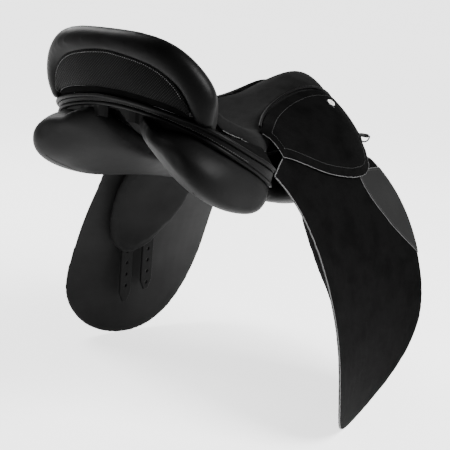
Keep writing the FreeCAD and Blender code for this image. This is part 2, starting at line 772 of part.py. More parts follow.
def make_stirrup_bar():
    """Base plate let into the tree, with a rod that stands off it and is open at the rear."""
    plate = box(BAR_PLATE["x"], BAR_PLATE["y"], BAR_PLATE["z"])
    rod_z = (BAR_STAND_OFF, BAR_STAND_OFF + BAR_ROD_HEIGHT)
    rod = box((-BAR_LENGTH / 2 + 6, BAR_LEG_X[1]), BAR_ROD_Y, rod_z)
    leg = box(BAR_LEG_X, BAR_ROD_Y, (0, rod_z[1]))
    pin = Part.makeCylinder(CATCH_PIN_R, 14.5, vec(CATCH_PIVOT_X, 0, -1), vec(0, 0, 1))
    return plate.fuse([rod, leg, pin]).removeSplitter()


def make_catch():
    """Safety catch that swings on the pin behind the open end of the bar."""
    pivot = vec(CATCH_PIVOT_X, 0, CATCH_EAR_Z)
    boss = Part.makeCylinder(4.5, 4.0, pivot, vec(0, 0, 1))
    thumb = box((CATCH_PIVOT_X - 2.5, CATCH_PIVOT_X + 2.5), (0, 13), (CATCH_EAR_Z, CATCH_EAR_Z + 4))
    hole = Part.makeCylinder(CATCH_PIN_R + PIN_CLEARANCE, 20, vec(CATCH_PIVOT_X, 0, 0), vec(0, 0, 1))
    return boss.fuse(thumb).cut(hole).removeSplitter()


# ---------------------------------------------------------------- small fittings

def make_dee():
    """Wire dee: a straight bar in the tab's loop and a half round hanging below it."""
    centre = vec(DEE_X, DEE_Y, DEE_Z)
    bar_end = centre - vec(0, DEE_RADIUS, 0)
    bar = Part.makeCylinder(DEE_WIRE_R, 2 * DEE_RADIUS, bar_end, vec(0, 1, 0))
    ring = Part.makeTorus(DEE_RADIUS, DEE_WIRE_R, centre, vec(1, 0, 0))
    lower_half = box((DEE_X - 5, DEE_X + 5), (DEE_Y - 20, DEE_Y + 20), (DEE_Z - 20, DEE_Z))
    corners = [Part.makeSphere(DEE_WIRE_R, centre + vec(0, side * DEE_RADIUS, 0)) for side in (-1, 1)]
    return bar.fuse([ring.common(lower_half)] + corners)


def make_dee_tab():
    """Leather tab from the tree's head, looped round the dee's straight bar."""
    y_low = DEE_Y - DEE_TAB_WIDTH / 2
    loop = Part.makeCylinder(DEE_LOOP_R, DEE_TAB_WIDTH, vec(DEE_X, y_low, DEE_Z), vec(0, 1, 0))
    strap = polygon_prism(
        [(130, 388.4), (DEE_X - 1, DEE_Z + 3.0), (DEE_X - 1, DEE_Z + 0.4), (130, 385.8)],
        y_low, y_low + DEE_TAB_WIDTH)
    hole = Part.makeCylinder(
        DEE_WIRE_R + PIN_CLEARANCE, DEE_TAB_WIDTH + 10, vec(DEE_X, y_low - 5, DEE_Z), vec(0, 1, 0))
    return strap.fuse(loop).cut(hole).removeSplitter()


def badge_frame():
    """Centre and outward normal of the badge on the front of the skirt."""
    station = skirt_station_at(BADGE_X)
    centre = skirt_point(station, BADGE_DOWN, 0)
    inner = skirt_point(station, BADGE_DOWN, 1)
    normal = centre - inner
    normal.normalize()
    return centre, normal


def make_badge():
    """Plain round badge disc and the metal bezel that holds it on the skirt."""
    centre, normal = badge_frame()
    foot = centre - normal * SKIRT_LEATHER
    bezel = Part.makeCylinder(BEZEL_R, BADGE_DEPTH + SKIRT_LEATHER, foot, normal)
    disc = Part.makeCylinder(BADGE_R, BADGE_DEPTH + 0.4, centre, normal)
    return bezel.cut(disc), disc


# ---------------------------------------------------------------- the saddle

def build():
    os.makedirs("parts", exist_ok=True)

    tree, spring, cantle_plate, long_web, cross_web = make_tree_parts()
    stirrup_bar = place_bar(make_stirrup_bar())
    catch = place_bar(make_catch())
    plate_pocket = place_bar(box(BAR_PLATE["x"], BAR_PLATE["y"], (BAR_PLATE["z"][0], BAR_STAND_OFF)))
    gullet_plate = arch_plate(ARCH, 3.0, ARCH_X)
    rivets = Part.makeCompound(make_head_rivets())
    tree = tree.cut(plate_pocket).cut(mirrored(plate_pocket))
    rivets = rivets.common(tree_layer(0, RIVET_DEPTH))
    tree = tree.cut(rivets)
    gullet_plate = gullet_plate.cut(rivets)
    export("tree", tree)
    export("gullet_plate", gullet_plate)
    export("head_rivets", rivets)
    export_pair("spring_strip", spring.cut(stirrup_bar))
    export("cantle_plate", cantle_plate)
    export("seat_web_long", long_web)
    export("seat_web_cross", cross_web)
    export_pair("stirrup_bar", stirrup_bar)
    export_pair("stirrup_catch", catch)

    upper_welt = tube(rail_path(UPPER_WELT), UPPER_WELT_R)
    lower_welt = tube(rail_path(LOWER_WELT), LOWER_WELT_R)
    facing = largest(cut_all(make_facing(), [upper_welt, lower_welt]))
    roll = make_roll().cut(upper_welt)
    inset = largest(cut_all(cantle_sheet(0, TRIM_LEATHER), [roll, upper_welt]))
    cantle_band = largest(cut_all(make_cantle_band(), [roll, upper_welt, inset]))
    export("cantle_roll", roll)
    export("cantle_inset", inset)
    export("cantle_band", cantle_band)
    export("rail_welt_upper", upper_welt)
    export("rail_welt_lower", lower_welt)
    export("rail_facing", facing)

    skirt_welt = make_skirt_welt()
    cover = make_seat_cover().cut(roll)
    side_piece = largest(cut_all(make_side_piece(), [upper_welt, cover, roll]))
    foam = largest(cut_all(make_foam(), [cover, long_web, cross_web]))
    board = cantle_sheet(TRIM_LEATHER, TREE_WOOD)
    board = largest(cut_all(board, [roll, inset, cantle_band, upper_welt, facing, tree, foam, cover]))
    export("cantle_board", board)
    export("seat_cover", cover.cut(skirt_welt).cut(mirrored(skirt_welt)))
    export("seat_foam", foam)
    export_pair("side_piece", side_piece)

    badge_bezel, badge_disc = make_badge()
    skirt_fixed, skirt_lifting = make_skirt()
    skirt_fixed = largest(cut_all(skirt_fixed, [skirt_welt, cover, badge_bezel, badge_disc]))
    export_pair("skirt_welt", skirt_welt)
    export_pair("skirt_top", skirt_fixed)
    export_pair("skirt", skirt_lifting.cut(flap_layer(-SKIRT_BACKING, PATCH_STAND + 1.5 * GAP)))
    export_pair("badge_bezel", badge_bezel.cut(cover))
    export_pair("badge", badge_disc)

    flap, patch = make_flap()
    export_pair("flap", flap)
    export_pair("knee_patch", patch)

    panel = make_panel()
    lobe = make_lobe()
    export_pair("panel", panel)
    export_pair("panel_lobe", lobe)
    export("gullet_lining", make_lining())
    export("pommel_facing", make_pommel_facing().cut(cover))

    export_pair("billet_webs", make_billet_webs())
    export_pair("billet_front", make_billet(BILLET_FRONT))
    export_pair("billet_rear", make_billet(BILLET_REAR))
    export_pair("dee_tab", make_dee_tab().cut(tree))
    export_pair("dee_ring", make_dee())


build()
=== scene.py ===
import math

import bmesh
import bpy
import numpy as np
from mathutils import Matrix, Vector, kdtree
from mathutils.bvhtree import BVHTree


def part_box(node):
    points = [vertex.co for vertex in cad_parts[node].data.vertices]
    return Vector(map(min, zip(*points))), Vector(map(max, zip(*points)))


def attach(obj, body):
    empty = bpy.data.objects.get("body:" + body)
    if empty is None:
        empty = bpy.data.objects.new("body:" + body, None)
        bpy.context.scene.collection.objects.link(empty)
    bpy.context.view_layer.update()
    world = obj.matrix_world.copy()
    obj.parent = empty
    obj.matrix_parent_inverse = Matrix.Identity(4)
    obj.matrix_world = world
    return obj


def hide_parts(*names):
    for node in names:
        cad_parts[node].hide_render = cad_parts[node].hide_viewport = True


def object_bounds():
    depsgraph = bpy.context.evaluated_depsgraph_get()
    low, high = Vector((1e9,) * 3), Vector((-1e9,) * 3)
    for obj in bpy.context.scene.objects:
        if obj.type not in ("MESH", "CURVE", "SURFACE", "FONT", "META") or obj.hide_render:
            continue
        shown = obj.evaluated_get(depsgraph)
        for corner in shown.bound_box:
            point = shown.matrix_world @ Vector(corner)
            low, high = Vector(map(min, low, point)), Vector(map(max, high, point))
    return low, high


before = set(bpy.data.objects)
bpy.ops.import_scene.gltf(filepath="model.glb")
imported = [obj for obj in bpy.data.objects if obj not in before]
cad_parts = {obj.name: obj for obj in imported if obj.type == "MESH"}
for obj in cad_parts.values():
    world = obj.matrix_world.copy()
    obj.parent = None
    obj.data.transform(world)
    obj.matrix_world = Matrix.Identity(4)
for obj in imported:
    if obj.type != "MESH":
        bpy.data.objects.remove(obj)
cad_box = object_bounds()

SIDES = {"left": 1, "right": -1}
ROOT = "seat_and_tree"
MM = 0.001
OUT_FAR = 0.6                 # start of the rays that look for a surface


# ---------------------------------------------------------------- mesh helpers

def link(name, mesh):
    obj = bpy.data.objects.new(name, mesh)
    bpy.context.scene.collection.objects.link(obj)
    return obj


def mesh_from(name, points, faces):
    mesh = bpy.data.meshes.new(name)
    mesh.from_pydata([tuple(p) for p in points], [], faces)
    mesh.update()
    return link(name, mesh)


def shade_smooth(obj):
    obj.data.polygons.foreach_set("use_smooth", [True] * len(obj.data.polygons))
    obj.data.update()
    return obj


def node_copy(name, *nodes):
    """One new object holding copies of the CAD nodes' meshes."""
    points, faces = [], []
    for node in nodes:
        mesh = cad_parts[node].data
        base = len(points)
        points += [tuple(v.co) for v in mesh.vertices]
        faces += [[base + i for i in p.vertices] for p in mesh.polygons]
    return mesh_from(name, points, faces)


def bake(obj):
    """Apply every modifier."""
    view = bpy.context.evaluated_depsgraph_get()
    mesh = bpy.data.meshes.new_from_object(obj.evaluated_get(view))
    obj.modifiers.clear()
    old = obj.data
    obj.data = mesh
    bpy.data.meshes.remove(old)
    return obj


def remesh(obj, voxel):
    modifier = obj.modifiers.new("remesh", "REMESH")
    modifier.mode = "VOXEL"
    modifier.voxel_size = voxel
    return bake(obj)


def relax(obj, factor, rounds):
    modifier = obj.modifiers.new("relax", "SMOOTH")
    modifier.factor = factor
    modifier.iterations = rounds
    return bake(obj)


def subdivide(obj):
    modifier = obj.modifiers.new("subdivide", "SUBSURF")
    modifier.levels = 1
    modifier.render_levels = 1
    return bake(obj)


def coordinates(obj):
    flat = np.zeros(len(obj.data.vertices) * 3)
    obj.data.vertices.foreach_get("co", flat)
    return flat.reshape(-1, 3)


def set_coordinates(obj, points):
    obj.data.vertices.foreach_set("co", np.asarray(points, float).ravel())
    obj.data.update()


CLOTH_STEPS = 20


def inflate(obj, pressure, cap):
    """Swell a closed skin with a short cloth simulation; no point moves further than cap."""
    before = coordinates(obj)
    cloth = obj.modifiers.new("cloth", "CLOTH")
    cloth.settings.use_pressure = True
    cloth.settings.uniform_pressure_force = pressure
    cloth.settings.effector_weights.gravity = 0
    cloth.settings.quality = 4
    cloth.collision_settings.use_collision = False
    scene = bpy.context.scene
    for step in range(CLOTH_STEPS):
        scene.frame_set(1 + step)
    bake(obj)
    scene.frame_set(1)
    after = coordinates(obj)
    shift = after - before
    length = np.linalg.norm(shift, axis=1, keepdims=True)
    scale = np.minimum(1.0, cap / np.maximum(length, 1e-9))
    set_coordinates(obj, before + shift * scale)
    return obj


SCRAP_SHARE = 0.1             # of the largest shell's points; anything smaller is a scrap


def drop_scraps(obj):
    """Delete loose shells that are much smaller than the main one."""
    bm = bmesh.new()
    bm.from_mesh(obj.data)
    left = set(bm.verts)
    shells = []
    while left:
        start = left.pop()
        shell, edge = [start], [start]
        while edge:
            vert = edge.pop()
            for other in (e.other_vert(vert) for e in vert.link_edges):
                if other in left:
                    left.remove(other)
                    shell.append(other)
                    edge.append(other)
        shells.append(shell)
    largest = max(len(shell) for shell in shells)
    scraps = [v for shell in shells if len(shell) < largest * SCRAP_SHARE for v in shell]
    bmesh.ops.delete(bm, geom=scraps, context="VERTS")
    bm.to_mesh(obj.data)
    bm.free()


def skin(name, nodes, voxel, rounds, material, body, backing=()):
    """A leather piece made from its CAD nodes: evenly meshed, with soft rounded edges."""
    obj = node_copy(name, *nodes, *backing)
    remesh(obj, voxel)
    drop_scraps(obj)
    relax(obj, 0.5, rounds)
    shade_smooth(obj)
    dress(obj, material, body, nodes)
    return obj


def pad(name, nodes, voxel, pressure, cap, material, body):
    """A stuffed piece: remeshed, swollen by a cloth simulation and subdivided."""
    obj = node_copy(name, *nodes)
    remesh(obj, voxel)
    relax(obj, 0.5, 6)
    inflate(obj, pressure, cap)
    relax(obj, 0.5, 2)
    subdivide(obj)
    shade_smooth(obj)
    dress(obj, material, body, nodes)
    return obj


def dress(obj, material, body, nodes=()):
    obj.data.materials.clear()
    obj.data.materials.append(material)
    if body:
        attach(obj, body)
    if nodes:
        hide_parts(*nodes)
    return obj


# ---------------------------------------------------------------- lines on surfaces

def tree_of(obj):
    points = [v.co.copy() for v in obj.data.vertices]
    return BVHTree.FromPolygons(points, [list(p.vertices) for p in obj.data.polygons])


def smooth_loop(values, rounds, closed=True):
    values = np.asarray(values, float)
    for _ in range(rounds):
        if closed:
            values = 0.25 * np.roll(values, 1, 0) + 0.5 * values + 0.25 * np.roll(values, -1, 0)
        else:
            middle = 0.25 * values[:-2] + 0.5 * values[1:-1] + 0.25 * values[2:]
            values = np.concatenate([values[:1], middle, values[-1:]])
    return values


def rim(obj, way, level=0.0, rounds=6):
    """Longest closed line on a piece along which its surface leans from way by the same amount."""
    way = Vector(way).normalized()
    mesh = obj.data
    lean = [v.normal.dot(way) - level for v in mesh.vertices]
    ends, links = {}, {}
    for face in mesh.polygons:
        ids = list(face.vertices)
        for k in range(1, len(ids) - 1):
            corner = (ids[0], ids[k], ids[k + 1])
            cuts = []
            for a, b in ((corner[0], corner[1]), (corner[1], corner[2]), (corner[2], corner[0])):
                if (lean[a] < 0) != (lean[b] < 0):
                    key = (min(a, b), max(a, b))
                    if key not in ends:
                        t = lean[key[0]] / (lean[key[0]] - lean[key[1]])
                        first, last = mesh.vertices[key[0]], mesh.vertices[key[1]]
                        ends[key] = (first.co.lerp(last.co, t), first.normal.lerp(last.normal, t))
                    cuts.append(key)
            if len(cuts) == 2:
                links.setdefault(cuts[0], []).append(cuts[1])
                links.setdefault(cuts[1], []).append(cuts[0])
    best, best_length, seen = [], 0.0, set()
    for start in links:
        if start in seen:
            continue
        chain, here = [start], start
        seen.add(start)
        while True:
            onward = [n for n in links[here] if n not in seen]
            if not onward:
                break
            here = onward[0]
            seen.add(here)
            chain.append(here)
        length = sum((ends[p][0] - ends[q][0]).length for p, q in zip(chain, chain[1:]))
        if length > best_length:
            best, best_length = chain, length
    places = smooth_loop([tuple(ends[k][0]) for k in best], rounds)
    ways = smooth_loop([tuple(ends[k][1]) for k in best], rounds)
    return [(Vector(p), Vector(n).normalized()) for p, n in zip(places, ways)]


def inside(obj, path, way, distance):
    """A closed path moved inwards over the piece, square to way, and dropped back onto its surface."""
    way = Vector(way).normalized()
    path = resample(path + path[:1], 2.5 * MM)[:-1]
    places = np.array([tuple(p) for p, _ in path])
    places -= np.outer(places @ np.array(way), np.array(way))
    ahead = np.roll(places, -2, 0) - np.roll(places, 2, 0)
    sideways = np.cross(ahead, np.array(way))
    sideways /= np.linalg.norm(sideways, axis=1, keepdims=True)
    turn = np.cross(places - places.mean(0), ahead) @ np.array(way)
    inward = -sideways if turn.sum() > 0 else sideways
    moved = smooth_loop(places + inward * distance, 3)
    tree = tree_of(obj)
    found = []
    for p in moved:
        hit, normal, _, _ = tree.ray_cast(Vector(p) + way * OUT_FAR, -way)
        if hit is not None:
            found.append((hit, normal))
    return found


def resample(path, pitch):
    """Evenly spaced (point, normal) along a path of (point, normal)."""
    lengths = [0.0]
    for (a, _), (b, _) in zip(path, path[1:]):
        lengths.append(lengths[-1] + (b - a).length)
    count = max(2, int(lengths[-1] / pitch))
    out, k = [], 0
    for i in range(count + 1):
        s = lengths[-1] * i / count
        while k < len(lengths) - 2 and lengths[k + 1] < s:
            k += 1
        t = (s - lengths[k]) / max(lengths[k + 1] - lengths[k], 1e-9)
        out.append((path[k][0].lerp(path[k + 1][0], t), path[k][1].lerp(path[k + 1][1], t)))
    return out


def support_line(obj, low, high, way, side, rounds=8):
    """Line of the points on one side that lie furthest along way, one for every few millimetres of x."""
    way = np.array(Vector(way).normalized())
    points = coordinates(obj)
    points = points[points[:, 1] * side > 0]
    reach = points @ way
    step = 5 * MM
    line = []
    for k in range(int((high - low) / step)):
        inside_slice = np.where((points[:, 0] >= low + k * step) & (points[:, 0] < low + (k + 1) * step))[0]
        if len(inside_slice):
            line.append(points[inside_slice[reach[inside_slice].argmax()]])
    line = smooth_loop(line, rounds, closed=False)
    tree = tree_of(obj)
    found = []
    for p in line:
        near, normal, _, _ = tree.find_nearest(Vector(p))
        found.append((near, normal))
    return found


def ring_points(centre, across, up, radius, sides):
    for k in range(sides):
        a = 2 * math.pi * k / sides
        yield centre + across * (math.cos(a) * radius) + up * (math.sin(a) * radius)


def stitches(name, path, material, body, pitch=3.4 * MM, length=2.4 * MM, radius=0.33 * MM):
    """A row of sewn stitches lying on a surface, each a small rounded bead of thread."""
    points, faces = [], []
    sides = 6
    rows = [(-0.5, 0.35, -0.6), (-0.3, 0.95, 0.2), (0.3, 0.95, 0.2), (0.5, 0.35, -0.6)]
    places = resample(path, pitch)
    for (a, na), (b, nb) in zip(places, places[1:]):
        along = (b - a).normalized()
        up = (na + nb).normalized()
        across = along.cross(up).normalized()
        middle = (a + b) / 2
        base = len(points)
        for t, girth, lift in rows:
            centre = middle + along * (t * length) + up * (radius * lift)
            points += ring_points(centre, across, up, radius * girth, sides)
        for r in range(len(rows) - 1):
            for k in range(sides):
                n = (k + 1) % sides
                low, high = base + r * sides, base + (r + 1) * sides
                faces.append([low + k, low + n, high + n, high + k])
        faces.append([base + k for k in range(sides)][::-1])
        faces.append([base + (len(rows) - 1) * sides + k for k in range(sides)])
    obj = shade_smooth(mesh_from(name, points, faces))
    return dress(obj, material, body)


def cordlet(name, path, radius, material, body, sink=0.0, closed=False, pitch=3 * MM):
    """Thin round edging that follows a path of (point, normal), sunk a little into the surface."""
    sides = 10
    places = resample(path, pitch)
    if closed:
        places = places[:-1]
    points, faces = [], []
    count = len(places)
    for i, (p, n) in enumerate(places):
        before = places[(i - 1) % count][0] if closed or i else p
        after = places[(i + 1) % count][0] if closed or i < count - 1 else p
        along = (after - before).normalized()
        across = along.cross(n).normalized()
        up = across.cross(along).normalized()
        points += ring_points(p - n * sink, across, up, radius, sides)
    rings = count if closed else count - 1
    for r in range(rings):
        low, high = r * sides, ((r + 1) % count) * sides
        for k in range(sides):
            n = (k + 1) % sides
            faces.append([low + k, low + n, high + n, high + k])
    if not closed:
        faces.append([k for k in range(sides)][::-1])
        faces.append([(count - 1) * sides + k for k in range(sides)])
    obj = shade_smooth(mesh_from(name, points, faces))
    bm = bmesh.new()
    bm.from_mesh(obj.data)
    bmesh.ops.recalc_face_normals(bm, faces=bm.faces)
    bm.to_mesh(obj.data)
    bm.free()
    return dress(obj, material, body)


# ---------------------------------------------------------------- materials

def material(name):
    made = bpy.data.materials.new(name)
    made.use_nodes = True
    nodes = made.node_tree.nodes
    return made, nodes, made.node_tree.links, nodes["Principled BSDF"]


def texture(nodes, links, kind, scale, coords, **settings):
    node = nodes.new(kind)
    if "Scale" in node.inputs:
        node.inputs["Scale"].default_value = scale
    for key, value in settings.items():
        if key in node.inputs:
            node.inputs[key].default_value = value
        else:
            setattr(node, key, value)
    links.new(coords, node.inputs["Vector"])
    return node


def ramp(nodes, links, source, stops):
    node = nodes.new("ShaderNodeValToRGB")
    while len(node.color_ramp.elements) < len(stops):
        node.color_ramp.elements.new(0.5)
    for element, (place, value) in zip(node.color_ramp.elements, stops):
        element.position = place
        element.color = (*value, 1.0) if hasattr(value, "__len__") else (value, value, value, 1.0)
    links.new(source, node.inputs["Fac"])
    return node


def spread(nodes, links, source, low, high):
    node = nodes.new("ShaderNodeMapRange")
    node.inputs["To Min"].default_value = low
    node.inputs["To Max"].default_value = high
    links.new(source, node.inputs["Value"])
    return node.outputs["Result"]


def bump(nodes, links, shader, heights):
    """Chain of bumps: each is (height socket, strength, distance in metres)."""
    previous = None
    for height, strength, distance in heights:
        node = nodes.new("ShaderNodeBump")
        node.inputs["Strength"].default_value = strength
        node.inputs["Distance"].default_value = distance
        links.new(height, node.inputs["Height"])
        if previous is not None:
            links.new(previous.outputs["Normal"], node.inputs["Normal"])
        previous = node
    links.new(previous.outputs["Normal"], shader.inputs["Normal"])


def object_coords(nodes):
    return nodes.new("ShaderNodeTexCoord").outputs["Object"]


MATT_IOR = 1.08               # of leather with hardly any gloss


def smooth_leather(name, dark, light, rough, gloss):
    """Dyed, finished leather: pebble grain, faint creases and a little wear; gloss is its IOR."""
    made, nodes, links, shader = material(name)
    coords = object_coords(nodes)
    grain = texture(nodes, links, "ShaderNodeTexVoronoi", 900.0, coords, feature="SMOOTH_F1")
    pores = texture(nodes, links, "ShaderNodeTexNoise", 2600.0, coords, Detail=3.0)
    crease = texture(nodes, links, "ShaderNodeTexNoise", 38.0, coords, Detail=5.0, Roughness=0.6)
    cloud = texture(nodes, links, "ShaderNodeTexNoise", 14.0, coords, Detail=3.0)
    colour = ramp(nodes, links, cloud.outputs["Fac"], [(0.3, dark), (0.75, light)])
    links.new(colour.outputs["Color"], shader.inputs["Base Color"])
    worn = spread(nodes, links, crease.outputs["Fac"], rough - 0.07, rough + 0.1)
    links.new(worn, shader.inputs["Roughness"])
    shader.inputs["IOR"].default_value = gloss
    bump(nodes, links, shader, [
        (crease.outputs["Fac"], 0.22, 0.0012),
        (grain.outputs["Distance"], 0.22, 0.00022),
        (pores.outputs["Fac"], 0.12, 0.0001),
    ])
    return made


def buffed_leather(name, dark, light, nap):
    """Buffed matt leather with a short nap that catches light in soft patches."""
    made, nodes, links, shader = material(name)
    coords = object_coords(nodes)
    fibre = texture(nodes, links, "ShaderNodeTexNoise", 1900.0, coords, Detail=4.0, Roughness=0.7)
    patch = texture(nodes, links, "ShaderNodeTexNoise", 22.0, coords, Detail=6.0, Roughness=0.62)
    brushed = texture(nodes, links, "ShaderNodeTexNoise", 90.0, coords, Detail=4.0, Distortion=0.8)
    colour = ramp(nodes, links, patch.outputs["Fac"], [(0.35, dark), (0.55, light), (0.75, dark)])
    links.new(colour.outputs["Color"], shader.inputs["Base Color"])
    links.new(spread(nodes, links, brushed.outputs["Fac"], 0.72, 0.95), shader.inputs["Roughness"])
    shader.inputs["Sheen Weight"].default_value = nap
    shader.inputs["Sheen Roughness"].default_value = 0.45
    shader.inputs["IOR"].default_value = MATT_IOR
    bump(nodes, links, shader, [
        (patch.outputs["Fac"], 0.15, 0.0015),
        (brushed.outputs["Fac"], 0.12, 0.0006),
        (fibre.outputs["Fac"], 0.45, 0.00025),
    ])
    return made


def weave_leather(name, pitch):
    """Leather embossed with a fine diagonal basket weave; pitch is from rib to rib."""
    made, nodes, links, shader = material(name)
    coords = object_coords(nodes)
    turn = nodes.new("ShaderNodeMapping")
    turn.inputs["Rotation"].default_value = (math.radians(38), 0, 0)
    links.new(coords, turn.inputs["Vector"])
    heights = []
    for direction in ("Y", "Z"):
        wave = texture(nodes, links, "ShaderNodeTexWave", math.pi / (10 * pitch), turn.outputs["Vector"],
                       wave_type="BANDS", bands_direction=direction, wave_profile="SIN")
        wave.inputs["Distortion"].default_value = 0.0
        heights.append(wave.outputs["Fac"])
    mix = nodes.new("ShaderNodeMath")
    mix.operation = "MULTIPLY"
    links.new(heights[0], mix.inputs[0])
    links.new(heights[1], mix.inputs[1])
    cloud = texture(nodes, links, "ShaderNodeTexNoise", 30.0, coords, Detail=3.0)
    # Colour follows the weave's height and is far darker in the grooves: painted shade in the recesses, on
    # top of the bump.
    colour = ramp(nodes, links, mix.outputs["Value"], [(0.1, 0.0005), (0.7, 0.010)])
    links.new(colour.outputs["Color"], shader.inputs["Base Color"])
    links.new(spread(nodes, links, cloud.outputs["Fac"], 0.3, 0.5), shader.inputs["Roughness"])
    shader.inputs["IOR"].default_value = MATT_IOR
    bump(nodes, links, shader, [(mix.outputs["Value"], 0.8, 0.0006)])
    return made


def metal(name, colour, rough):
    """Polished or forged metal with fine scratches and rubbed patches."""
    made, nodes, links, shader = material(name)
    coords = object_coords(nodes)
    scratch = texture(nodes, links, "ShaderNodeTexNoise", 700.0, coords, Detail=5.0, Distortion=1.5)
    patch = texture(nodes, links, "ShaderNodeTexNoise", 60.0, coords, Detail=3.0)
    tone = ramp(nodes, links, patch.outputs["Fac"], [(0.3, [c * 0.8 for c in colour]), (0.7, colour)])
    links.new(tone.outputs["Color"], shader.inputs["Base Color"])
    links.new(spread(nodes, links, scratch.outputs["Fac"], rough, rough + 0.18), shader.inputs["Roughness"])
    shader.inputs["Metallic"].default_value = 1.0
    bump(nodes, links, shader, [(scratch.outputs["Fac"], 0.08, 0.0001)])
    return made


def webbing(name, dark, light):
    """Woven strap: ribs across, picks along."""
    made, nodes, links, shader = material(name)
    coords = object_coords(nodes)
    rib = texture(nodes, links, "ShaderNodeTexWave", 260.0, coords, wave_type="BANDS", bands_direction="X")
    pick = texture(nodes, links, "ShaderNodeTexWave", 330.0, coords, wave_type="BANDS", bands_direction="Z")
    fuzz = texture(nodes, links, "ShaderNodeTexNoise", 1500.0, coords, Detail=3.0)
    mix = nodes.new("ShaderNodeMath")
    mix.operation = "MULTIPLY"
    links.new(rib.outputs["Fac"], mix.inputs[0])
    links.new(pick.outputs["Fac"], mix.inputs[1])
    # Colour follows the weave and is darker where the threads dip: painted shade between the threads.
    tone = ramp(nodes, links, mix.outputs["Value"], [(0.0, dark), (0.8, light)])
    links.new(tone.outputs["Color"], shader.inputs["Base Color"])
    shader.inputs["Roughness"].default_value = 0.85
    bump(nodes, links, shader, [(mix.outputs["Value"], 0.5, 0.0005), (fuzz.outputs["Fac"], 0.2, 0.0002)])
    return made


def laminate(name):
    """Black bonded laminate of the tree, with its layers and short fibres."""
    made, nodes, links, shader = material(name)
    coords = object_coords(nodes)
    layers = texture(nodes, links, "ShaderNodeTexWave", 90.0, coords, wave_type="BANDS", bands_direction="Z")
    layers.inputs["Distortion"].default_value = 2.0
    fleck = texture(nodes, links, "ShaderNodeTexNoise", 420.0, coords, Detail=4.0)
    stops = [(0.2, (0.006, 0.006, 0.007)), (0.8, (0.016, 0.015, 0.014))]
    tone = ramp(nodes, links, layers.outputs["Fac"], stops)
    links.new(tone.outputs["Color"], shader.inputs["Base Color"])
    links.new(spread(nodes, links, fleck.outputs["Fac"], 0.35, 0.6), shader.inputs["Roughness"])
    bump(nodes, links, shader, [(fleck.outputs["Fac"], 0.15, 0.0003)])
    return made


def thread(name, dark, light):
    """Waxed thread with its twist."""
    made, nodes, links, shader = material(name)
    coords = object_coords(nodes)
    twist = texture(nodes, links, "ShaderNodeTexNoise", 1800.0, coords, Detail=2.0)
    tone = ramp(nodes, links, twist.outputs["Fac"], [(0.3, dark), (0.7, light)])
    links.new(tone.outputs["Color"], shader.inputs["Base Color"])
    shader.inputs["Roughness"].default_value = 0.6
    bump(nodes, links, shader, [(twist.outputs["Fac"], 0.3, 0.0002)])
    return made


def enamel(name):
    """Pale enamel, slightly uneven."""
    made, nodes, links, shader = material(name)
    coords = object_coords(nodes)
    cloud = texture(nodes, links, "ShaderNodeTexNoise", 300.0, coords, Detail=2.0)
    tone = ramp(nodes, links, cloud.outputs["Fac"], [(0.3, (0.80, 0.79, 0.75)), (0.7, (0.90, 0.89, 0.86))])
    links.new(tone.outputs["Color"], shader.inputs["Base Color"])
    shader.inputs["Roughness"].default_value = 0.22
    shader.inputs["Coat Weight"].default_value = 0.5
    bump(nodes, links, shader, [(cloud.outputs["Fac"], 0.05, 0.0002)])
    return made


# Black yarn: the first colour is the yarn in painted shade between the threads, the second the yarn on top.
BLACK_YARN = (0.006, 0.006, 0.007), (0.02, 0.02, 0.022)
MATERIALS = {
    "roll": smooth_leather("roll_leather", 0.0012, 0.0024, 0.40, 1.15),
    "panel": smooth_leather("panel_leather", 0.0014, 0.0030, 0.50, 1.17),
    "trim": smooth_leather("trim_leather", 0.0010, 0.0022, 0.42, 1.14),
    # Piping leather, paler than the panels: the paler colour is partly a painted highlight along the ridge.
    "seam": smooth_leather("seam_leather_painted_highlight", 0.0040, 0.0080, 0.50, 1.15),
    "strap": smooth_leather("strap_leather", 0.0022, 0.0044, 0.48, 1.12),
    "patch": smooth_leather("patch_leather", 0.0050, 0.0080, 0.55, 1.18),
    "lining": smooth_leather("lining_leather", 0.0060, 0.0110, 0.62, 1.10),
    "underside": smooth_leather("underside_leather", 0.0060, 0.0110, 0.50, 1.16),
    "buffed": buffed_leather("buffed_leather", 0.0006, 0.0018, 0.002),
    # Paler copy of the buffed leather for the seat: its lighter base colour is painted light on the seat's
    # top. The nap is the shader's own sheen.
    "seat": buffed_leather("seat_leather_painted_light", 0.0022, 0.0060, 0.02),
    "weave": weave_leather("weave_leather", 2.7 * MM),
    # Pale cord colour along the edges: partly the leather's finished edge, partly a painted highlight along
    # the edge.
    "edge": thread("pale_edge_and_painted_highlight", 0.045, 0.085),
    "thread": thread("thread", 0.03, 0.07),
    "pale_thread": thread("pale_thread", 0.10, 0.20),
    "dark_thread": thread("dark_thread", 0.003, 0.008),
    "foam": thread("foam", 0.004, 0.008),
    "steel": metal("steel", (0.48, 0.48, 0.50), 0.28),
    "dark_steel": metal("dark_steel", (0.12, 0.12, 0.13), 0.35),
    "web": webbing("seat_web", *BLACK_YARN),
    "black_web": webbing("black_web", *BLACK_YARN),
    "laminate": laminate("tree_laminate"),
    "enamel": enamel("badge_enamel"),
}


# ---------------------------------------------------------------- seat, roll and rail

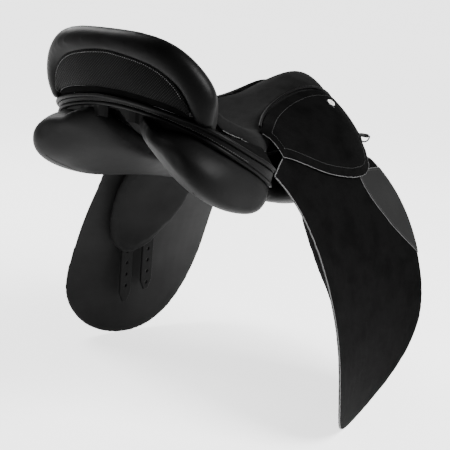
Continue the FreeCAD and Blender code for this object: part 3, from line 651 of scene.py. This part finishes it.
def make_seat():
    # The cover is thin at the cantle, so the foam under it is meshed with it to keep the leather whole.
    seat = skin("seat", ["seat_cover"], 1.5 * MM, 4, MATERIALS["seat"], ROOT,
                backing=["seat_foam"])
    pad("cantle_roll_pad", ["cantle_roll"], 3.0 * MM, 4.0, 2.0 * MM, MATERIALS["roll"], ROOT)
    inset = skin("cantle_inset_leather", ["cantle_inset"], 1.2 * MM, 3, MATERIALS["weave"], ROOT)
    border = rim(inset, (-1, 0, 0.25), level=0.5)
    line = inside(inset, border, (-1, 0, 0.25), 3.5 * MM)
    turns = np.degrees([math.atan2(p.y, RAIL_CENTRE.x - p.x) for p, _ in line])
    heights = np.array([p.z for p, _ in line])
    middle = {tuple(p): heights[abs(turns - turn) < 6].mean() for (p, _), turn in zip(line, turns)}
    for number, run in enumerate(split_runs(line, lambda p: p.z > middle[tuple(p)])):
        stitches(f"cantle_inset_stitches_{number}", run, MATERIALS["pale_thread"], ROOT, pitch=3.0 * MM,
                 length=1.7 * MM, radius=0.4 * MM)
    for side, sign in SIDES.items():
        # Pale cord along the seat's lower edge: its pale colour is a painted highlight on that edge.
        edge = support_line(seat, -0.208, -0.100, (0, 0.9 * sign, -0.45), sign)
        cordlet("seat_edge_" + side, edge, 0.55 * MM, MATERIALS["edge"], ROOT, sink=0.25 * MM)
    # Band of the darkest matt leather between the inset and the upper welt: a leather cover, and painted
    # shade under the inset's lower edge.
    skin("cantle_band_painted_shade", ["cantle_band"], 1.1 * MM, 2, MATERIALS["buffed"], ROOT)
    for node in ("rail_welt_upper", "rail_welt_lower"):
        skin(node + "_cord", [node], 1.1 * MM, 6, MATERIALS["roll"], ROOT)
    facing = skin("rail_facing_leather", ["rail_facing"], 0.9 * MM, 2, MATERIALS["trim"], ROOT)
    stitches("rail_stitches", rail_line(facing), MATERIALS["thread"], ROOT, pitch=3.2 * MM, length=2.1 * MM)
    for side in SIDES:
        skin("side_piece_leather_" + side, ["side_piece_" + side], 0.9 * MM, 2, MATERIALS["buffed"], ROOT)
    return seat


RAIL_CENTRE = Vector((-0.10, 0, 0))
RAIL_SWEEP = 62               # degrees each way from straight back


def rail_line(facing):
    """Line along the strip between the two welts, a third of the way up, dropped onto the strip."""
    tree = tree_of(facing)
    heights = []
    for node in ("rail_welt_lower", "rail_welt_upper"):
        points = np.array([tuple(v.co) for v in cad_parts[node].data.vertices])
        turn = np.degrees(np.arctan2(points[:, 1], RAIL_CENTRE.x - points[:, 0]))
        heights.append((turn, points[:, 2]))
    path = []
    for degrees in range(-RAIL_SWEEP, RAIL_SWEEP + 1):
        levels = [z[abs(turn - degrees) < 1.5].mean() for turn, z in heights]
        level = levels[0] * 0.64 + levels[1] * 0.36
        out = Vector((-math.cos(math.radians(degrees)), math.sin(math.radians(degrees)), 0))
        start = Vector((RAIL_CENTRE.x, 0, level)) + out * OUT_FAR
        hit, normal, _, _ = tree.ray_cast(start, -out)
        if hit is not None:
            path.append((hit, normal))
    return path


def meet(obj, targets, reach, gap):
    """Draw the upper side of a pad up to the trim that it is sewn under."""
    points, faces = [], []
    for node in targets:
        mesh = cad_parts[node].data
        base = len(points)
        points += [v.co.copy() for v in mesh.vertices]
        faces += [[base + i for i in p.vertices] for p in mesh.polygons]
    tree = BVHTree.FromPolygons(points, faces)
    moved = coordinates(obj)
    for v in obj.data.vertices:
        if v.normal.z < 0.1:
            continue
        near, _, _, distance = tree.find_nearest(v.co, reach)
        if near is None or distance <= gap or near.z < v.co.z:
            continue
        share = 1 - (distance / reach) ** 3
        moved[v.index] = v.co + (near - v.co) * ((distance - gap) / distance * share)
    set_coordinates(obj, moved)


GUSSET_FROM, GUSSET_TO = 6, 80        # degrees from straight back
GUSSET_IN, GUSSET_THICK = 4.5 * MM, 1.5 * MM
GUSSET_RISE, GUSSET_DROP = 8 * MM, 15 * MM
LEVELS = 60                           # heights tried from the foot of the welt upwards


def make_gusset(side, sign):
    """Dark strip behind the lower welt, which closes the gap above one panel. It has no CAD node."""
    tree = tree_of(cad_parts["rail_welt_lower"])
    low, high = (corner[2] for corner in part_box("rail_welt_lower"))
    points = []
    for degrees in range(GUSSET_FROM, GUSSET_TO + 1, 2):
        turn = math.radians(degrees)
        out = Vector((-math.cos(turn), sign * math.sin(turn), 0))
        for step in range(LEVELS):
            level = low + (high - low) * step / (LEVELS - 1)
            hit, _, _, _ = tree.ray_cast(Vector((RAIL_CENTRE.x, 0, level)) + out * OUT_FAR, -out)
            if hit is not None:
                break
        if hit is None:
            continue
        front, rear = GUSSET_IN, GUSSET_IN + GUSSET_THICK
        top, foot = GUSSET_RISE, -GUSSET_DROP
        for depth, rise in ((front, top), (front, foot), (rear, foot), (rear, top)):
            points.append(hit - out * depth + Vector((0, 0, rise)))
    count = len(points) // 4
    faces = [[4 * i + k, 4 * i + (k + 1) % 4, 4 * i + 4 + (k + 1) % 4, 4 * i + 4 + k]
             for i in range(count - 1) for k in range(4)]
    faces += [[3, 2, 1, 0], [4 * count - 4 + k for k in range(4)]]
    strip = mesh_from("panel_gusset_" + side, points, faces)
    bm = bmesh.new()
    bm.from_mesh(strip.data)
    bmesh.ops.recalc_face_normals(bm, faces=bm.faces[:])
    bm.to_mesh(strip.data)
    bm.free()
    dress(strip, MATERIALS["trim"], ROOT)


def make_panels():
    for side, sign in SIDES.items():
        make_gusset(side, sign)
        panel = node_copy("panel_pad_" + side, "panel_" + side)
        remesh(panel, 3.6 * MM)
        relax(panel, 0.5, 3)
        meet(panel, ["rail_welt_lower"], 6 * MM, 0.5 * MM)
        relax(panel, 0.5, 2)
        inflate(panel, 4.0, 3.0 * MM)
        relax(panel, 0.5, 1)
        subdivide(panel)
        shade_smooth(panel)
        dress(panel, MATERIALS["panel"], ROOT, ["panel_" + side])
        # Piping along each panel's lower ridge: its paler leather is partly a painted highlight along the
        # ridge.
        ridge = support_line(panel, -0.262, -0.080, (0, -0.25 * sign, -0.97), sign)
        cordlet("panel_seam_" + side, ridge, 0.8 * MM, MATERIALS["seam"], ROOT, sink=0.35 * MM)
        pad("lobe_pad_" + side, ["panel_lobe_" + side], 3.0 * MM, 4.0, 1.2 * MM, MATERIALS["lining"], ROOT)
    skin("gullet_lining_leather", ["gullet_lining"], 1.1 * MM, 3, MATERIALS["lining"], ROOT)
    skin("pommel_facing_leather", ["pommel_facing"], 2.0 * MM, 6, MATERIALS["roll"], ROOT)


# ---------------------------------------------------------------- skirts and flaps

FOLD_REACH = 8 * MM
FOLD_STEP = 2.5 * MM


def fill_fold(whole, fold):
    """Close the hidden channel along the fold line with short hulls, so that the leather runs on over it."""
    points = [v.co.copy() for v in whole.data.vertices if abs(abs(v.co.y) - fold) < FOLD_REACH]
    low = min(p.x for p in points)
    high = max(p.x for p in points)
    bm = bmesh.new()
    bm.from_mesh(whole.data)
    for k in range(int((high - low) / FOLD_STEP)):
        start = low + k * FOLD_STEP
        near = [bm.verts.new(p) for p in points if start <= p.x <= start + 2 * FOLD_STEP]
        if len(near) > 8:
            hull = bmesh.ops.convex_hull(bm, input=near)
            bmesh.ops.delete(bm, geom=[g for g in hull["geom_interior"] if isinstance(g, bmesh.types.BMVert)],
                             context="VERTS")
    bm.to_mesh(whole.data)
    bm.free()


def make_skirts():
    """Each skirt is one leather, shown in two pieces that meet on the line it lifts along."""
    for side, sign in SIDES.items():
        whole = node_copy("skirt_whole_" + side, "skirt_top_" + side, "skirt_" + side)
        fold = min(abs(c.y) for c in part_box("skirt_" + side))
        remesh(whole, 1.4 * MM)
        fill_fold(whole, fold)
        remesh(whole, 1.4 * MM)
        relax(whole, 0.5, 8)
        shade_smooth(whole)
        way = (0.1, 0.75 * sign, 0.66)
        border = rim(whole, way, level=0.3)
        seam = inside(whole, border, way, 13 * MM)
        finder = kdtree.KDTree(len(whole.data.vertices))
        for v in whole.data.vertices:
            finder.insert(v.co, v.index)
        finder.balance()
        normals = [v.normal.copy() for v in whole.data.vertices]
        for name, keep_outer, body, node, slot_name in (
                ("skirt_upper_", False, ROOT, "skirt_top_", "skirt_top"),
                ("skirt_lower_", True, "skirt_" + side, "skirt_", "skirt")):
            bm = bmesh.new()
            bm.from_mesh(whole.data)
            everything = bm.verts[:] + bm.edges[:] + bm.faces[:]
            bmesh.ops.bisect_plane(bm, geom=everything, plane_co=(0, sign * fold, 0), plane_no=(0, sign, 0),
                                   clear_inner=keep_outer, clear_outer=not keep_outer)
            open_edges = [e for e in bm.edges if e.is_boundary]
            bmesh.ops.holes_fill(bm, edges=open_edges, sides=0)
            mesh = bpy.data.meshes.new(name + side)
            bm.to_mesh(mesh)
            bm.free()
            piece = shade_smooth(link(name + side, mesh))
            nearest = [normals[finder.find(v.co)[1]] for v in mesh.vertices]
            mesh.normals_split_custom_set_from_vertices(nearest)
            dress(piece, MATERIALS["buffed"], body, [node + side])
            for part_name, path in (("seam", seam), ("edge", border)):
                runs = split_runs(path, lambda p: (abs(p.y) > fold) == keep_outer)
                for number, run in enumerate(runs):
                    label = f"{name}{part_name}_{side}_{number}"
                    if part_name == "seam":
                        stitches(label, run, MATERIALS["dark_thread"], body, pitch=3.0 * MM, length=2.0 * MM)
                    elif keep_outer:
                        # Pale edge cord: partly the finished edge, partly a painted highlight along it.
                        cordlet(label, run, 0.5 * MM, MATERIALS["edge"], body, sink=0.2 * MM)
        bpy.data.objects.remove(whole)
        skin("skirt_welt_cord_" + side, ["skirt_welt_" + side], 1.0 * MM, 6, MATERIALS["roll"], ROOT)


def split_runs(path, wanted):
    """Unbroken stretches of a closed path whose points are wanted."""
    flags = [wanted(p) for p, _ in path]
    if all(flags):
        return [path + path[:1]]
    start = next(i for i in range(len(path)) if not flags[i - 1] and flags[i]) if any(flags) else 0
    runs, run = [], []
    for k in range(len(path)):
        i = (start + k) % len(path)
        if flags[i]:
            run.append(path[i])
        elif run:
            runs.append(run)
            run = []
    if run:
        runs.append(run)
    return [r for r in runs if sum((b[0] - a[0]).length for a, b in zip(r, r[1:])) > 12 * MM]


def make_flaps():
    for side, sign in SIDES.items():
        body = "flap_" + side
        flap = skin("flap_leather_" + side, [body], 1.7 * MM, 5, MATERIALS["buffed"], body)
        patch = skin("knee_patch_leather_" + side, ["knee_patch_" + side], 0.9 * MM, 3, MATERIALS["patch"],
                     body)
        out = (0, sign, 0)
        flap.data.materials.append(MATERIALS["underside"])
        for face in flap.data.polygons:
            face.material_index = int(face.normal.y * sign < -0.3)
        # Pale edge cords on the flap and the knee patch: partly the finished edge, partly a painted highlight
        # along it.
        cordlet("flap_edge_" + side, rim(flap, out, level=0.45), 0.9 * MM, MATERIALS["edge"], body,
                sink=0.45 * MM, closed=True)
        cordlet("knee_patch_edge_" + side, rim(patch, out, level=0.6), 0.45 * MM, MATERIALS["edge"], body,
                sink=0.2 * MM, closed=True)
        stitches("knee_patch_stitches_" + side, inside(patch, rim(patch, out, level=0.5), out, 3.0 * MM),
                 MATERIALS["dark_thread"], body, pitch=3.0 * MM, length=2.0 * MM)


BADGE_RING, BADGE_BAR = 3.5 * MM, 2.8 * MM    # radius, length


def make_badge_marks():
    """A plain thin ring and a short bar on each badge."""
    for side in SIDES:
        points = np.array([tuple(v.co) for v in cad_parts["badge_" + side].data.vertices])
        centre = points.mean(0)
        _, _, axes = np.linalg.svd(points - centre)
        out = Vector(axes[2])
        if out.z < 0:
            out.negate()
        across = Vector(axes[0])
        up = out.cross(across)
        face = Vector(centre) + out * max((points - centre) @ np.array(out))
        ring = [(face + across * (math.cos(a) * BADGE_RING) + up * (math.sin(a) * BADGE_RING), out)
                for a in np.linspace(0, 2 * math.pi, 49)]
        cordlet("badge_ring_" + side, ring, 0.28 * MM, MATERIALS["dark_steel"], ROOT, closed=True,
                pitch=0.5 * MM)
        bar = [(face - across * BADGE_BAR / 2, out), (face + across * BADGE_BAR / 2, out)]
        cordlet("badge_bar_" + side, bar, 0.45 * MM, MATERIALS["dark_steel"], ROOT, pitch=0.5 * MM)


def make_straps():
    for side in SIDES:
        for which in ("front", "rear"):
            node = f"billet_{which}_{side}"
            skin(node + "_strap", [node], 0.8 * MM, 3, MATERIALS["strap"], node)
        skin("dee_tab_leather_" + side, ["dee_tab_" + side], 0.8 * MM, 3, MATERIALS["strap"], ROOT)


# ---------------------------------------------------------------- hardware kept from CAD

KEPT = {
    "tree": "laminate", "cantle_board": "laminate", "gullet_plate": "dark_steel", "head_rivets": "steel",
    "cantle_plate": "dark_steel", "seat_web_long": "web", "seat_web_cross": "web", "seat_foam": "foam",
}
KEPT_PAIRS = {
    "spring_strip": "dark_steel", "stirrup_bar": "steel", "stirrup_catch": "steel",
    "badge_bezel": "dark_steel", "badge": "enamel", "billet_webs": "black_web", "dee_ring": "dark_steel",
}


def finish_hardware():
    kept = dict(KEPT)
    for node, look in KEPT_PAIRS.items():
        for side in SIDES:
            kept[f"{node}_{side}"] = look
    for node, look in kept.items():
        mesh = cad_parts[node].data
        mesh.materials.clear()
        mesh.materials.append(MATERIALS[look])


# ---------------------------------------------------------------- camera, floor and light

AIM = Vector((-0.0889, -0.0535, -0.0652))
AZIMUTH, ELEVATION, ROLL = (math.radians(d) for d in (-50.695, 13.216, 4.891))
DISTANCE = 1.3296
LENS = 75.7


def make_camera():
    back = Vector((math.sin(AZIMUTH) * math.cos(ELEVATION), -math.cos(AZIMUTH) * math.cos(ELEVATION),
                   math.sin(ELEVATION)))
    level = Vector((math.cos(AZIMUTH), math.sin(AZIMUTH), 0))
    rise = back.cross(level)
    right = level * math.cos(ROLL) + rise * math.sin(ROLL)
    up = rise * math.cos(ROLL) - level * math.sin(ROLL)
    data = bpy.data.cameras.new("camera")
    data.lens = LENS
    data.sensor_width = 36
    camera = bpy.data.objects.new("camera", data)
    camera.matrix_world = Matrix([
        [right.x, up.x, back.x, 0], [right.y, up.y, back.y, 0], [right.z, up.z, back.z, 0], [0, 0, 0, 1]])
    camera.location = AIM + back * DISTANCE
    bpy.context.scene.collection.objects.link(camera)
    bpy.context.scene.camera = camera


PAPER_GLOW = 2.9
WALL = 3.1                    # brightness of the wall just above the floor
FLOOR_HALF = 30
BEHIND = (0.773, 0.634, 0.0)  # level direction of the lit end of the room
# The floor glows there as painted light and the wall is bright only there, so that the leather reflects
# little of it and the backdrop stays pale.
# Each fade: where it is darkest, where it is full, and the darkest value.
FLOOR_WEDGE = (0.74, 0.91, 0.5)       # by the cosine of the angle from BEHIND
WALL_WEDGE = (0.74, 0.93, 0.3)
FLOOR_NEAR = (-0.9, -0.3, 0.3)        # by the distance along BEHIND, in metres
FLOOR_FAR = (-0.3, 2.0, 0.7)


def fade(nodes, links, source, dark_at, bright_at, low):
    node = nodes.new("ShaderNodeMapRange")
    node.interpolation_type = "SMOOTHSTEP"
    node.inputs["From Min"].default_value = dark_at
    node.inputs["From Max"].default_value = bright_at
    node.inputs["To Min"].default_value = low
    links.new(source, node.inputs["Value"])
    return node.outputs["Result"]


def vector_step(nodes, links, operation, first, second):
    node = nodes.new("ShaderNodeVectorMath")
    node.operation = operation
    links.new(first, node.inputs[0])
    if second is not None:
        node.inputs[1].default_value = second
    return node.outputs["Value" if operation == "DOT_PRODUCT" else "Vector"]


def product(nodes, links, first, second):
    node = nodes.new("ShaderNodeMath")
    node.operation = "MULTIPLY"
    links.new(first, node.inputs[0])
    links.new(second, node.inputs[1])
    return node.outputs["Value"]


def make_floor():
    """Pale studio paper that glows (painted light) under and behind the saddle and is dimmer at the near end
    of the room.
    """
    low = cad_box[0].z
    corners = [(x, y, low) for x, y in ((-FLOOR_HALF, -FLOOR_HALF), (FLOOR_HALF, -FLOOR_HALF),
                                        (FLOOR_HALF, FLOOR_HALF), (-FLOOR_HALF, FLOOR_HALF))]
    floor = mesh_from("floor", corners, [[0, 1, 2, 3]])
    made, nodes, links, shader = material("paper")
    coords = object_coords(nodes)
    tone = texture(nodes, links, "ShaderNodeTexNoise", 3.0, coords, Detail=2.0)
    colour = ramp(nodes, links, tone.outputs["Fac"], [(0.3, 0.80), (0.7, 0.82)])
    links.new(colour.outputs["Color"], shader.inputs["Base Color"])
    shader.inputs["Roughness"].default_value = 0.9
    shader.inputs["Specular IOR Level"].default_value = 0.1
    away = vector_step(nodes, links, "ADD", coords, [3 * c for c in BEHIND])
    ray = vector_step(nodes, links, "NORMALIZE", away, None)
    toward = vector_step(nodes, links, "DOT_PRODUCT", ray, BEHIND)
    wedge = fade(nodes, links, toward, *FLOOR_WEDGE)
    along = vector_step(nodes, links, "DOT_PRODUCT", coords, BEHIND)
    near_end = fade(nodes, links, along, *FLOOR_NEAR)
    far_end = fade(nodes, links, along, *FLOOR_FAR)
    depth = product(nodes, links, near_end, far_end)
    # The glow is painted light on the paper: full in a wedge towards BEHIND and fading towards the near end
    # of the room.
    links.new(product(nodes, links, wedge, depth), shader.inputs["Emission Color"])
    shader.inputs["Emission Strength"].default_value = PAPER_GLOW
    floor.data.materials.append(made)


def area_light(name, place, size, power):
    data = bpy.data.lights.new(name, "AREA")
    data.shape = "RECTANGLE"
    data.size, data.size_y = size
    data.energy = power
    lamp = bpy.data.objects.new(name, data)
    lamp.location = place
    lamp.rotation_mode = "QUATERNION"
    lamp.rotation_quaternion = (AIM - Vector(place)).to_track_quat("-Z", "Y")
    bpy.context.scene.collection.objects.link(lamp)


def make_light():
    """Wall that is white low down and behind the saddle, a soft key lamp and a weaker one on the left."""
    world = bpy.data.worlds.new("studio")
    bpy.context.scene.world = world
    world.use_nodes = True
    nodes, links = world.node_tree.nodes, world.node_tree.links
    way = nodes.new("ShaderNodeTexCoord").outputs["Generated"]
    split = nodes.new("ShaderNodeSeparateXYZ")
    links.new(way, split.inputs["Vector"])
    wall = ramp(nodes, links, split.outputs["Z"], [(0.0, 1.0), (0.10, 1.0), (0.45, 0.16), (1.0, 0.08)])
    toward = vector_step(nodes, links, "DOT_PRODUCT", way, BEHIND)
    lit = fade(nodes, links, toward, *WALL_WEDGE)
    links.new(product(nodes, links, wall.outputs["Color"], lit), nodes["Background"].inputs["Color"])
    nodes["Background"].inputs["Strength"].default_value = WALL
    area_light("key", (0.30, -1.45, 1.15), (1.0, 1.0), 95)
    area_light("rear_left", (-0.2, 1.5, 1.2), (0.9, 0.9), 40)


# ---------------------------------------------------------------- the saddle

make_camera()
make_floor()
make_light()
make_seat()
make_panels()
make_skirts()
make_flaps()
make_straps()
make_badge_marks()
finish_hardware()
